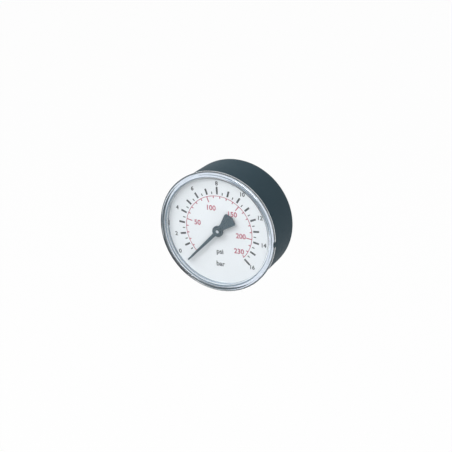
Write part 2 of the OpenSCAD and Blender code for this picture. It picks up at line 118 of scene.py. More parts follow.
class GaugePrint(bpy.types.PropertyGroup):
    """Sizes of what is printed on the dial."""

    face_depth: length("Dial thickness", "From the dial's back to its printed face", 1.0 * MM)
    face_radius: length("Face radius", "Radius up to which the dial is coated", 27.95 * MM)
    # Painted shade: the brim's inner edge is coloured dark out to this radius, for the shade at the
    # dial's edge
    edge_radius: length(
        "Edge radius", "Radius up to which the brim's inner edge is dark", 28.8 * MM)
    ink: length("Ink height", "Thickness of the printed ink", 0.03 * MM)
    zero: angle("Zero", "Direction of zero, anticlockwise from three o'clock", 225)
    sweep: angle("Sweep", "Turn of the pointer from zero to the full scale", 270)
    full_bar: count("Full scale", "Last value of the outer scale, in bar", 16)
    bar_step: count("Number step", "Bar from one outer number to the next", 2)
    tick_inner: length("Tick start", "Radius where the outer scale's ticks start", 18.7 * MM)
    tick_outer: length("Tick end", "Radius where a tick ends", 21.8 * MM)
    long_outer: length(
        "Long tick end", "Radius where the first, middle and last tick end", 22.6 * MM)
    half_outer: length("Half tick end", "Radius where a tick for half a bar ends", 20.0 * MM)
    tick_width: length("Tick width", "Width of a tick", 0.95 * MM)
    half_width: length("Half tick width", "Width of a tick for half a bar", 0.5 * MM)
    number_radius: length("Number radius", "Radius of the outer numbers' middles", 24.2 * MM)
    number_size: length("Number size", "Letter size of the outer numbers", 2.9 * MM)
    zero_radius: length("Zero's radius", "Radius of the nought near the pointer's tip", 26.2 * MM)
    zero_shift: angle("Zero's shift", "Turn of the nought away from its mark", 13)
    weight: length("Weight", "How much the letters are thickened all round", 0.08 * MM)
    full_psi: count("Inner full scale", "Last number of the inner scale, in psi", 230)
    psi_step: count("Inner tick step", "Psi from one inner tick to the next", 10)
    psi_label: count("Inner number step", "Psi from one inner number to the next", 50)
    arc_radius: length("Arc radius", "Radius of the inner scale's line", 17.8 * MM)
    arc_width: length("Arc width", "Width of the inner scale's line", 0.3 * MM)
    psi_tick: length("Inner tick", "Length of an inner tick with a number", 3.0 * MM)
    psi_minor: length("Inner small tick", "Length of an inner tick without a number", 1.1 * MM)
    psi_radius: length("Inner number radius", "Radius of the inner numbers' middles", 11.9 * MM)
    last_radius: length("Last radius", "Radius of the inner scale's last number", 14.2 * MM)
    psi_size: length("Inner number size", "Letter size of the inner numbers", 3.6 * MM)
    unit_size: length("Unit size", "Letter size of the unit names", 3.5 * MM)
    psi_drop: length("Inner unit drop", "From the axis down to the inner unit's name", 11.1 * MM)
    bar_drop: length("Outer unit drop", "From the axis down to the outer unit's name", 17.6 * MM)


class GaugeWindow(bpy.types.PropertyGroup):
    """Sizes of the clear window."""

    radius: length("Radius", "Outer radius of the rim", 31.0 * MM)
    rim: length("Rim thickness", "From the bead's crest to the rim's foot on the case", 2.19 * MM)
    bead: length("Bead", "Radius of the bead that rounds the rim's front", 1.4 * MM)
    slope: number("Slope", "Flatness of the bead's outer side, 1 for a round one", 1.8)
    drop: length("Drop", "From the bead's crest down to the pane", 0.7 * MM)
    pane: length("Pane", "Thickness of the pane", 0.9 * MM)
    skirt_radius: length("Skirt radius", "Outer radius of the skirt", 27.9 * MM)
    skirt: length("Skirt", "Thickness of the skirt and of the snap tabs", 0.6 * MM)
    skirt_reach: length("Skirt reach", "From the bead's crest to the skirt's end", 3.5 * MM)
    tab_width: length("Tab width", "Width of a snap tab", 2.4 * MM)
    tab_reach: length("Tab reach", "From the bead's crest to a tab's end", 4.0 * MM)
    barb_radius: length("Barb radius", "Radius of a barb's end", 29.5 * MM)
    barb_height: length("Barb height", "Height of a barb along the axis", 0.99 * MM)
    notch_depth: length("Notch depth", "Depth of the notch round the case's key", 0.9 * MM)
    notch_width: length("Notch width", "Width of the notch round the case's key", 2.6 * MM)
    right_tab: angle("Right tab", "Direction of the right tab and of the notch", -4.5)
    left_tab: angle("Left tab", "Direction of the left tab", 178.5)
    seam: length("Seam", "Gap that keeps a tab's skin off the skirt's", 0.02 * MM)


class GaugeThread(bpy.types.PropertyGroup):
    """Sizes of the threaded stem and of the tube."""

    pitch: length("Pitch", "Advance of the thread in one turn", 1.337 * MM)
    depth: length("Depth", "Height of the thread from root to crest", 0.856 * MM)
    major_radius: length("Crest radius", "Radius of the thread's crests", 6.5785 * MM)
    run: length("Length", "Length of the thread with its chamfer", 13.0 * MM)
    chamfer: length("Chamfer", "Length of the chamfer at the thread's end", 1.0 * MM)
    relief: length("Relief", "Length of the groove beside the shoulder", 1.3 * MM)
    flat: number("Flat", "Part of the depth that a sharp crest and root lose", 0.15)
    rounding: number("Rounding", "Share of the thread's form that is rounded", 0.4)
    shoulder: length("Shoulder", "Place where the frame's plain thread is sawn off", 0.05 * MM)
    pilot_radius: length("Pilot radius", "Radius of the pilot at the stem's end", 2.5 * MM)
    pilot_run: length("Pilot length", "Length of the pilot", 2.0 * MM)
    pilot_edge: length("Pilot edge", "Chamfer at the pilot's end", 0.3 * MM)
    bore_radius: length("Bore radius", "Radius of the pressure bore", 1.4 * MM)
    bore_edge: length("Bore edge", "Chamfer at the bore's mouth", 0.2 * MM)
    tube_radius: length("Coil radius", "Radius of the tube's centre line", 21.5 * MM)
    tube_width: length("Tube width", "Width of the flat-oval tube along the axis", 7.0 * MM)
    tube_thickness: length("Tube thickness", "Thickness of the tube across the coil", 2.4 * MM)
    tube_start: angle("Tube start", "Direction of the tube's fixed end", 268)
    tube_end: angle("Tube end", "Direction of the tube's free end", -8)
    opening: angle("Opening", "Direction across the coil in which the tube gives way", 45)


class GaugeColours(bpy.types.PropertyGroup):
    """Colours of the finishes."""

    case: colour("Case", "Black moulded plastic", (0.033, 0.066, 0.086))
    window: colour("Window", "Clear plastic", (0.95, 0.975, 1.0))
    dial: colour("Dial", "Coated dial face", (0.85, 0.865, 0.865))
    brim: colour("Brim", "Bare brim of the dial", (0.74, 0.79, 0.86))
    # Painted shade: dark colour of the dial's side and the brim's inner edge, for the shade there
    wall: colour("Wall", "Dark wall of the dial, with its edge", (0.16, 0.22, 0.27))
    black_ink: colour("Black ink", "Outer scale", (0.022, 0.030, 0.034))
    red_ink: colour("Red ink", "Inner scale", (0.52, 0.07, 0.13))
    pointer: colour("Pointer", "Painted pointer", (0.022, 0.063, 0.086))
    brass: colour("Brass", "Machined brass", (0.72, 0.53, 0.24))
    bronze: colour("Bronze", "Drawn bronze", (0.62, 0.38, 0.20))
    steel: colour("Steel", "Turned steel", (0.66, 0.67, 0.69))
    zinc: colour("Zinc", "Zinc-plated screws", (0.58, 0.60, 0.62))


class GaugeStudio(bpy.types.PropertyGroup):
    """Camera, lamps, floor and dark card."""

    azimuth: angle("Azimuth", "Camera's turn to the right of the dial's axis", 28.03)
    elevation: angle("Elevation", "Camera's height above the dial's axis", 21.63)
    roll: angle("Roll", "Turn of the picture, anticlockwise", 3.06)
    distance: length("Distance", "From the camera to the rim", 0.62)
    lens: bpy.props.FloatProperty(
        name="Lens", description="Focal length", default=102.03, unit="CAMERA")
    shift_x: number("Shift right", "Sideways shift of the picture", 0.02343)
    shift_y: number("Shift up", "Upward shift of the picture", 0.0159)
    floor: length("Floor", "Height of the floor", -0.25)
    floor_size: length("Floor size", "Length of the floor's sides", 6.0)
    paper: colour("Paper", "Colour of the floor", (0.95, 0.95, 0.95))
    glow: number("Glow", "Share of the floor that shows as plain white", 0.97)
    ambient: number("Ambient", "Strength of the light from all round", 0.36)
    key: power("Key lamp", "Power of the lamp at the upper left", 6.5)
    key_size: span("Key size", "Width and height of the key lamp", (0.5, 0.5))
    key_place: span("Key place", "Where the key lamp hangs", (-0.5, -0.45, 0.8))
    fill: power("Fill lamp", "Power of the lamp at the right", 1.5)
    fill_size: span("Fill size", "Width and height of the fill lamp", (0.7, 0.7))
    fill_place: span("Fill place", "Where the fill lamp hangs", (0.9, -0.6, 0.1))
    top: power("Top lamp", "Power of the strip lamp above", 2.2)
    top_size: span("Top size", "Width and height of the top lamp", (0.7, 0.12))
    top_place: span("Top place", "Where the top lamp hangs", (0.34, -0.57, 0.72))
    top_turn: angle("Top turn", "Turn of the top lamp about its own beam", -47.5)
    card_place: span(
        "Card place", "Near left corner of the dark card, above the floor", (-0.9, 0.0, 0.001))
    card_size: span("Card size", "Width and depth of the dark card on the floor", (0.66, 0.45))
    card: colour("Card", "Colour of the dark card on the floor", (0.005, 0.0055, 0.006))


class Value:
    """A shader socket. Arithmetic on it adds Math nodes to its tree."""

    def __init__(self, tree, socket):
        self.tree = tree
        self.socket = socket

    def math(self, operation, first, second):
        """Return the result of a Math node."""
        return self.tree.add("ShaderNodeMath", {"operation": operation}, {0: first, 1: second})

    def __add__(self, other):
        return self.math("ADD", self, other)

    def __sub__(self, other):
        return self.math("SUBTRACT", self, other)

    def __rsub__(self, other):
        return self.math("SUBTRACT", other, self)

    def __mul__(self, other):
        return self.math("MULTIPLY", self, other)

    def __gt__(self, other):
        return self.math("GREATER_THAN", self, other)

    __radd__ = __add__
    __rmul__ = __mul__

    def between(self, low, high):
        """Return a value that runs from low to high where this one runs from 0 to 1."""
        return self * (high - low) + low


class Tree:
    """A node tree whose nodes all come from one method."""

    def __init__(self, owner):
        owner.use_nodes = True
        self.nodes = owner.node_tree.nodes
        self.links = owner.node_tree.links
        self.nodes.clear()

    def add(self, kind, settings=None, sockets=None, output=0):
        """Add a node, set its settings, then its sockets, and return one of its outputs."""
        node = self.nodes.new(kind)
        for name, value in (settings or {}).items():
            setattr(node, name, value)
        for name, value in (sockets or {}).items():
            if isinstance(value, Value):
                self.links.new(value.socket, node.inputs[name])
            else:
                node.inputs[name].default_value = value
        return Value(self, node.outputs[output]) if len(node.outputs) else None

    def place(self):
        """Return the position on the object, in metres."""
        return self.add("ShaderNodeTexCoord", output="Object")

    def noise(self, scale, detail=2.0, where=None):
        """Return noise from 0 to 1 with so many spots to a metre."""
        return self.add("ShaderNodeTexNoise", None, {
            "Vector": where or self.place(), "Scale": scale, "Detail": detail})

    def stretched(self, scale):
        """Return the position scaled by its own factor along each axis."""
        return self.add(
            "ShaderNodeVectorMath", {"operation": "MULTIPLY"}, {0: self.place(), 1: scale})

    def radius(self):
        """Return the distance from the gauge's axis, in metres."""
        return self.add(
            "ShaderNodeVectorMath", {"operation": "LENGTH"}, {0: self.stretched((1.0, 0.0, 1.0))},
            output="Value")

    def mix(self, factor, first, second):
        """Return a colour between two."""
        return self.add("ShaderNodeMix", {"data_type": "RGBA"}, {
            "Factor": factor, "A": first, "B": second}, output="Result")

    def tint(self, rgb, mask, dark):
        """Return a colour that falls to a share of itself where the mask is 0."""
        shade = tuple(dark * c for c in rgb)
        return self.mix(mask, (*shade, 1.0), (*rgb, 1.0))

    def bump(self, height, distance, strength=1.0):
        """Return a normal for a height from 0 to 1 over so many metres."""
        return self.add("ShaderNodeBump", None, {
            "Height": height, "Distance": distance, "Strength": strength})

    def surface(self, sockets):
        """Finish the tree with a Principled shader."""
        shader = self.add("ShaderNodeBsdfPrincipled", None, sockets)
        self.add("ShaderNodeOutputMaterial", None, {"Surface": shader})


def new_material(name):
    """Return a new material and its tree."""
    material = bpy.data.materials.new(name)
    return material, Tree(material)


def moulded_black(colours):
    """Return the case's plastic, with a fine spark-eroded grain and slight clouds."""
    material, tree = new_material("black_plastic")
    grain = tree.noise(3200.0, detail=3.0)
    clouds = tree.noise(70.0)
    tree.surface({
        "Base Color": tree.tint(colours.case, clouds * 0.4 + grain * 0.6, dark=0.62),
        "Roughness": grain.between(0.5, 0.64),
        "Specular IOR Level": 0.1,
        "Normal": tree.bump(grain, 0.1 * MM, strength=0.8),
    })
    return material


def clear_plastic(colours):
    """Return the window's clear plastic, polished, with the faintest waviness."""
    material, tree = new_material("clear_plastic")
    waves = tree.noise(90.0)
    tree.surface({
        "Base Color": (*colours.window, 1.0),
        "Roughness": waves.between(0.01, 0.03),
        "IOR": 1.49,
        "Transmission Weight": 1.0,
        "Normal": tree.bump(waves, 0.02 * MM, strength=0.2),
    })
    return material


def coated_white(colours, printed):
    """Return the dial's coating, with a fine orange peel, and the bare brim. The dial's side and
    the brim's inner edge are painted dark, as painted shade.
    """
    material, tree = new_material("dial_white")
    peel = tree.noise(2400.0)
    clouds = tree.noise(60.0)
    mask = clouds * 0.6 + peel * 0.4
    radius = tree.radius()
    face = tree.tint(colours.dial, mask, dark=0.965)
    # Painted shade: the dial's side and the brim's inner edge take the dark colour, the brim
    # outside is bare
    wall = tree.tint(colours.wall, mask, dark=0.9)
    brim = tree.tint(colours.brim, mask, dark=0.9)
    brim_and_painted_shade = tree.mix(radius > printed.edge_radius, wall, brim)
    tree.surface({
        "Base Color": tree.mix(radius > printed.face_radius, face, brim_and_painted_shade),
        "Roughness": peel.between(0.45, 0.55),
        "Normal": tree.bump(peel, 0.01 * MM, strength=0.3),
    })
    return material


def printing_ink(name, rgb):
    """Return a screen-printed ink that is a little uneven in cover."""
    material, tree = new_material(name)
    cover = tree.noise(5200.0, detail=3.0)
    tree.surface({
        "Base Color": tree.tint(rgb, cover, dark=0.7),
        "Roughness": cover.between(0.42, 0.57),
    })
    return material


def pointer_paint(colours):
    """Return the pointer's satin paint over stamped sheet."""
    material, tree = new_material("pointer_black")
    spray = tree.noise(4200.0, detail=3.0)
    tree.surface({
        "Base Color": tree.tint(colours.pointer, spray, dark=0.75),
        "Roughness": spray.between(0.36, 0.48),
        "Normal": tree.bump(spray, 0.04 * MM, strength=0.7),
    })
    return material


def machined(name, rgb, roughness, lay):
    """Return bare metal with tool marks; lay is the marks' scale along x, y and z."""
    material, tree = new_material(name)
    marks = tree.noise(1.0, detail=3.0, where=tree.stretched(lay))
    stain = tree.noise(220.0)
    tree.surface({
        "Base Color": tree.tint(rgb, marks * 0.5 + stain * 0.5, dark=0.72),
        "Metallic": 1.0,
        "Roughness": marks * 0.16 + stain * 0.1 + roughness,
        "Normal": tree.bump(marks, 0.01 * MM, strength=0.35),
    })
    return material


def dress(material, *nodes):
    """Give nodes of the frame one material."""
    for name in nodes:
        mesh = frame["nodes"][name].data
        mesh.materials.clear()
        mesh.materials.append(material)


def new_piece(name, bm, material, body):
    """Return an object made of a bmesh, riding on a body if one is given."""
    mesh = bpy.data.meshes.new(name)
    bmesh.ops.recalc_face_normals(bm, faces=bm.faces)
    bm.to_mesh(mesh)
    bm.free()
    mesh.shade_smooth()
    mesh.set_sharp_from_angle(angle=SHARP)
    piece = bpy.data.objects.new(name, mesh)
    bpy.context.scene.collection.objects.link(piece)
    mesh.materials.append(material)
    if body:
        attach(piece, body)
    return piece


def polar(radius, direction):
    """Return a point of the front view, x to the right and y up."""
    return Vector((radius * math.cos(direction), radius * math.sin(direction), 0.0))


def add_slab(bm, outline, height):
    """Add a flat slab with an anticlockwise outline of the front view."""
    low = [bm.verts.new(p) for p in outline]
    high = [bm.verts.new(p + Vector((0.0, 0.0, height))) for p in outline]
    bm.faces.new(low[::-1])
    bm.faces.new(high)
    for i in range(len(outline)):
        j = (i + 1) % len(outline)
        bm.faces.new((low[i], low[j], high[j], high[i]))


def add_tick(bm, direction, inner, outer, width, height):
    """Add a radial tick."""
    along = polar(1.0, direction)
    across = polar(width / 2, direction + math.pi / 2)
    add_slab(bm, [
        along * inner - across, along * outer - across,
        along * outer + across, along * inner + across], height)


def add_arc(bm, radius, width, start, end, height, steps=120):
    """Add a band along an arc that runs clockwise from start to end."""
    turns = [start + (end - start) * i / steps for i in range(steps + 1)]
    rows = []
    for turn in turns:
        inner = polar(radius - width / 2, turn)
        outer = polar(radius + width / 2, turn)
        lift = Vector((0.0, 0.0, height))
        rows.append([bm.verts.new(p) for p in (inner, outer, outer + lift, inner + lift)])
    for row, after in zip(rows, rows[1:]):
        for i in range(len(row)):
            j = (i + 1) % len(row)
            bm.faces.new((row[i], row[j], after[j], after[i]))
    bm.faces.new(rows[0][::-1])
    bm.faces.new(rows[-1])


def add_words(bm, words, size, middle, printed):
    """Add words in the built-in letters, centred on a point of the front view."""
    curve = bpy.data.curves.new("words", "FONT")
    curve.body = words
    curve.size = size
    curve.align_x = "CENTER"
    curve.align_y = "CENTER"
    curve.extrude = printed.ink / 2
    curve.offset = printed.weight
    curve.resolution_u = 4
    holder = bpy.data.objects.new("words", curve)
    bpy.context.scene.collection.objects.link(holder)
    bpy.context.view_layer.update()
    shaped = holder.evaluated_get(bpy.context.evaluated_depsgraph_get())
    mesh = bpy.data.meshes.new_from_object(shaped)
    mesh.transform(Matrix.Translation(middle + Vector((0.0, 0.0, printed.ink / 2))))
    bm.from_mesh(mesh)
    bpy.data.objects.remove(holder)
    bpy.data.curves.remove(curve)
    bpy.data.meshes.remove(mesh)


def onto_dial(bm, printed):
    """Move a print from the front view onto the dial's face."""
    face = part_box("dial")[1].y - printed.face_depth
    bmesh.ops.remove_doubles(bm, verts=bm.verts, dist=TOUCH)
    bm.transform(Matrix.Translation((0.0, face, 0.0)) @ FACE_ON)


class GAUGE_OT_case(bpy.types.Operator):
    """Give the case its moulded plastic"""

    bl_idname = "gauge.case"
    bl_label = "Case"

    def execute(self, context):
        dress(moulded_black(context.scene.gauge_colours), "case")
        return {"FINISHED"}


class GAUGE_OT_window(bpy.types.Operator):
    """Turn the clear window finely, with its bead, skirt, notch and snap tabs"""

    bl_idname = "gauge.window"
    bl_label = "Window"
    # Steps of the bead's section outside and inside its crest
    outer_steps = 12
    inner_steps = 6
    # Steps of the bead's outer side that the notch takes, and steps across the notch
    notch_height = 3
    notch_steps = 4

    def execute(self, context):
        cut = context.scene.gauge_window
        bm = bmesh.new()
        self.add_disc(bm, cut)
        for direction in (cut.right_tab, cut.left_tab):
            self.add_tab(bm, cut, direction)
        bm.transform(Matrix.Translation((0.0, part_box("window")[0].y, 0.0)) @ FACE_ON)
        clear = clear_plastic(context.scene.gauge_colours)
        window = new_piece("clear_window", bm, clear, "housing")
        window.visible_shadow = False
        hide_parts("window")
        return {"FINISHED"}

    @staticmethod
    def bead(cut, turn):
        """Return a point of the bead, from its foot outside to its crest and on to the pane."""
        across = math.cos(turn)
        up = math.sin(turn)
        if across > 0:
            across = across ** cut.slope
            up = up ** cut.slope
        return cut.radius - cut.bead + cut.bead * across, cut.bead * up - cut.bead

    def profile(self, cut, notch):
        """Return the half section from the pane's back round to its front."""
        inner = cut.skirt_radius - cut.skirt
        skirt = [
            (inner, -cut.drop - cut.pane), (inner, -cut.skirt_reach),
            (cut.skirt_radius, -cut.skirt_reach), (cut.skirt_radius, -cut.rim)]
        crest = math.pi / 2
        steps = self.outer_steps
        outside = [self.bead(cut, crest * i / steps) for i in range(steps + 1)]
        side = [(cut.radius, -cut.rim)] + outside[:self.notch_height + 1]
        if notch:
            side = [(cut.radius - cut.notch_depth, height) for _, height in side]
        pane_turn = math.pi - math.asin(1.0 - cut.drop / cut.bead)
        steps = self.inner_steps
        inside = [
            self.bead(cut, crest + (pane_turn - crest) * i / steps) for i in range(1, steps + 1)]
        return skirt + side + outside[self.notch_height:] + inside

    def add_disc(self, bm, cut, steps=240):
        """Add the pane with its skirt and rim as one closed form."""
        half = cut.notch_width / 2 / cut.radius
        rest = math.tau - 2 * half
        rings = [(cut.right_tab + half + rest * i / steps, False) for i in range(steps + 1)]
        for i in range(self.notch_steps + 1):
            rings.append((cut.right_tab - half + 2 * half * i / self.notch_steps, True))
        loops = []
        for turn, notch in rings:
            loop = []
            for radius, height in self.profile(cut, notch):
                loop.append(bm.verts.new(polar(radius, turn) + Vector((0.0, 0.0, height))))
            loops.append(loop)
        for loop, after in zip(loops, loops[1:] + loops[:1]):
            for i in range(len(loop) - 1):
                bm.faces.new((loop[i], loop[i + 1], after[i + 1], after[i]))
        bm.faces.new([loop[0] for loop in loops])
        bm.faces.new([loop[-1] for loop in loops])
        bmesh.ops.remove_doubles(bm, verts=bm.verts, dist=TOUCH)

    @staticmethod
    def add_tab(bm, cut, direction):
        """Add a snap tab with its barb, a hair off the skirt."""
        inner = cut.skirt_radius - cut.skirt
        outer = cut.skirt_radius + cut.seam
        top = -cut.skirt_reach - cut.seam
        barb = cut.barb_height - cut.tab_reach
        outline = (
            (inner, -cut.tab_reach), (cut.barb_radius, -cut.tab_reach), (cut.barb_radius, barb),
            (outer, barb), (outer, top), (inner, top))
        across = polar(cut.tab_width / 2, direction + math.pi / 2)
        sides = []
        for side in (-across, across):
            sides.append([
                bm.verts.new(polar(radius, direction) + Vector((0.0, 0.0, height)) + side)
                for radius, height in outline])
        bm.faces.new(sides[0])
        bm.faces.new(sides[1][::-1])
        for i in range(len(outline)):
            j = (i + 1) % len(outline)
            bm.faces.new((sides[0][i], sides[0][j], sides[1][j], sides[1][i]))


class GAUGE_OT_dial(bpy.types.Operator):
    """Coat the dial and print both scales on it"""

    bl_idname = "gauge.dial"
    bl_label = "Dial and print"

    def execute(self, context):
        colours = context.scene.gauge_colours
        printed = context.scene.gauge_print
        dress(coated_white(colours, printed), "dial")
        black = printing_ink("black_ink", colours.black_ink)
        red = printing_ink("red_ink", colours.red_ink)
        prints = {
            "bar_scale": (self.bar_scale, black),
            "psi_scale": (self.psi_scale, red),
            "bar_numbers": (self.bar_numbers, black),
            "psi_numbers": (self.psi_numbers, red),
        }
        for name, (draw, ink) in prints.items():
            bm = bmesh.new()
            draw(bm, printed)
            onto_dial(bm, printed)
            new_piece(name, bm, ink, "housing")
        return {"FINISHED"}

    @staticmethod
    def direction(printed, share):
        """Return the pointer's direction at a share of the full scale."""
        return printed.zero - printed.sweep * share

    def bar_scale(self, bm, printed):
        """Draw the outer ticks, one for each half bar."""
        for half in range(2 * printed.full_bar + 1):
            direction = self.direction(printed, half / (2 * printed.full_bar))
            outer = printed.tick_outer
            width = printed.tick_width
            if half % 2:
                outer = printed.half_outer
                width = printed.half_width
            elif half % printed.full_bar == 0:
                outer = printed.long_outer
            add_tick(bm, direction, printed.tick_inner, outer, width, printed.ink)

    def bar_numbers(self, bm, printed):
        """Draw the outer numbers and the names of both units."""
        for bar in range(0, printed.full_bar + 1, printed.bar_step):
            direction = self.direction(printed, bar / printed.full_bar)
            middle = polar(printed.number_radius, direction)
            if bar == 0:
                middle = polar(printed.zero_radius, direction - printed.zero_shift)
            add_words(bm, str(bar), printed.number_size, middle, printed)
        for unit, drop in (("psi", printed.psi_drop), ("bar", printed.bar_drop)):
            add_words(bm, unit, printed.unit_size, Vector((0.0, -drop, 0.0)), printed)

    def psi_direction(self, printed, psi):
        """Return the pointer's direction at a value of the inner scale."""
        return self.direction(printed, psi / (PSI_PER_BAR * printed.full_bar))

    def psi_scale(self, bm, printed):
        """Draw the inner scale's line and ticks."""
        end = printed.zero - printed.sweep
        add_arc(bm, printed.arc_radius, printed.arc_width, printed.zero, end, printed.ink)
        for psi in range(0, printed.full_psi + 1, printed.psi_step):
            reach = printed.psi_minor if psi % printed.psi_label else printed.psi_tick
            direction = self.psi_direction(printed, psi)
            add_tick(
                bm, direction, printed.arc_radius - reach, printed.arc_radius,
                printed.half_width, printed.ink)

    def psi_numbers(self, bm, printed):
        """Draw the inner numbers. The last one stands nearer to its tick."""
        places = {
            psi: printed.psi_radius
            for psi in range(printed.psi_label, printed.full_psi, printed.psi_label)}
        places[printed.full_psi] = printed.last_radius
        for psi, radius in places.items():
            middle = polar(radius, self.psi_direction(printed, psi))
            add_words(bm, str(psi), printed.psi_size, middle, printed)


class GAUGE_OT_pointer(bpy.types.Operator):
    """Paint the pointer with its bush"""

    bl_idname = "gauge.pointer"
    bl_label = "Pointer"

    def execute(self, context):
        dress(pointer_paint(context.scene.gauge_colours), "pointer", "pointer_bush")
        return {"FINISHED"}


def thread_radius(cut, turn, along):
    """Return the thread's radius at a turn about the axis and a way along it."""
    phase = (along / cut.pitch - turn / math.tau) % 1.0
    flank = abs(2.0 * phase - 1.0) * (1.0 + 2.0 * cut.flat) - cut.flat
    crest = min(1.0, max(0.0, flank))
    rounded = crest * crest * (3.0 - 2.0 * crest)
    form = crest + cut.rounding * (rounded - crest)
    root = cut.major_radius - cut.depth
    into_relief = root + max(0.0, along - cut.relief)
    into_chamfer = cut.major_radius - cut.chamfer + max(0.0, cut.run - along)
    return min(root + cut.depth * form, into_relief, into_chamfer)


def add_thread(bm, cut, sides=96, rows_per_pitch=12):
    """Add the thread with its pilot and bore, one closed form along +Y."""
    turns = [math.tau * i / sides for i in range(sides)]
    rows = round(cut.run / cut.pitch * rows_per_pitch)
    ways = [cut.run * i / rows for i in range(rows + 1)]
    end = cut.run + cut.pilot_run
    loops = [[(cut.bore_radius, 0.0)] * len(turns)]
    loops += [[(thread_radius(cut, turn, way), way) for turn in turns] for way in ways]
    profile = (
        (cut.pilot_radius, cut.run), (cut.pilot_radius, end - cut.pilot_edge),
        (cut.pilot_radius - cut.pilot_edge, end), (cut.bore_radius + cut.bore_edge, end),
        (cut.bore_radius, end - cut.bore_edge))
    loops += [[point] * len(turns) for point in profile]
    rings = []
    for loop in loops:
        ring = []
        for turn, (radius, way) in zip(turns, loop):
            ring.append(bm.verts.new((radius * math.cos(turn), way, -radius * math.sin(turn))))
        rings.append(ring)
    for ring, after in zip(rings, rings[1:] + rings[:1]):
        for i in range(len(turns)):
            j = (i + 1) % len(turns)
            bm.faces.new((ring[i], ring[j], after[j], after[i]))


class GAUGE_OT_stem(bpy.types.Operator):
    """Cut the thread on the stem"""

    bl_idname = "gauge.stem"
    bl_label = "Threaded stem"

    def execute(self, context):
        cut = context.scene.gauge_thread
        bm = bmesh.new()
        bm.from_mesh(frame["nodes"]["stem"].data)
        bmesh.ops.remove_doubles(bm, verts=bm.verts, dist=TOUCH)
        sawn = bmesh.ops.bisect_plane(
            bm, geom=bm.verts[:] + bm.edges[:] + bm.faces[:], dist=TOUCH,
            plane_co=(0.0, cut.shoulder, 0.0), plane_no=(0.0, 1.0, 0.0), clear_outer=True)
        rim = [part for part in sawn["geom_cut"] if isinstance(part, bmesh.types.BMEdge)]
        bmesh.ops.triangle_fill(bm, edges=rim, use_beauty=True)
        add_thread(bm, cut)
        frame_brass = bpy.data.materials["brass"]
        stem = new_piece("threaded_stem", bm, frame_brass, "housing")
        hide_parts("stem")
        return {"FINISHED"}


class GAUGE_OT_tube(bpy.types.Operator):
    """Bend the flat-oval tube round its coil, from its fixed end to its free end"""

    bl_idname = "gauge.tube"
    bl_label = "Bourdon tube"
    # Steps along the tube, and points round each of its sections
    steps = 96
    sides = 32

    def execute(self, context):
        cut = context.scene.gauge_thread
        low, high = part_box("bourdon_tube")
        middle = (low.y + high.y) / 2
        bm = bmesh.new()
        rings = [self.section(bm, cut, middle, i / self.steps) for i in range(self.steps + 1)]
        for ring, after in zip(rings, rings[1:]):
            for i in range(len(ring)):
                j = (i + 1) % len(ring)
                bm.faces.new((ring[i], ring[j], after[j], after[i]))
        bm.faces.new(rings[0])
        bm.faces.new(rings[-1])
        frame_bronze = bpy.data.materials["bronze"]
        tube = new_piece("bent_tube", bm, frame_bronze, None)
        fixed, free = [self.across(cut, middle, turn) for turn in (cut.tube_start, cut.tube_end)]
        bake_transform(tube)
        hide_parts("bourdon_tube")
        return {"FINISHED"}

    @staticmethod
    def across(cut, middle, turn):
        """Return where a place on the coil falls on the line that the coil opens along."""
        point = polar(cut.tube_radius * math.cos(turn - cut.opening), cut.opening)
        return point.x, middle, point.y

    def section(self, bm, cut, middle, share):
        """Add one flat-oval section of the tube and return its points."""
        turn = cut.tube_start + (cut.tube_end - cut.tube_start) * share
        half = (cut.tube_width - cut.tube_thickness) / 2
        ring = []
        for i in range(self.sides):
            way = math.tau * (i + 0.5) / self.sides
            side = half if math.sin(way) > 0 else -half
            out = polar(cut.tube_radius + cut.tube_thickness / 2 * math.cos(way), turn)
            depth = middle + side + cut.tube_thickness / 2 * math.sin(way)
            ring.append(bm.verts.new((out.x, depth, out.y)))
        return ring


class GAUGE_OT_metal(bpy.types.Operator):
    """Make finishes for the metals of the movement and the screws"""

    bl_idname = "gauge.metal"
    bl_label = "Movement and screws"

    def execute(self, context):
        colours = context.scene.gauge_colours
        brass = machined("brass", colours.brass, roughness=0.22, lay=(900.0, 9000.0, 900.0))
        bronze = machined("bronze", colours.bronze, roughness=0.28, lay=(700.0, 7000.0, 700.0))
        steel = machined("bright_steel", colours.steel, roughness=0.2, lay=(6000.0, 900.0, 6000.0))
        zinc = machined("zinc_steel", colours.zinc, roughness=0.3, lay=(5000.0, 1200.0, 5000.0))
        # Known fault: the frame's own metals hold these names, so the finishes' names get a suffix,
        # none of them matches a slot, and each metal keeps the frame's plain look
        finishes = {slot.name: slot for slot in (brass, bronze, steel, zinc)}
        for part in frame["record"]["subparts"]:
            if part["material_slot"] in finishes:
                dress(finishes[part["material_slot"]], part["node"])
        return {"FINISHED"}


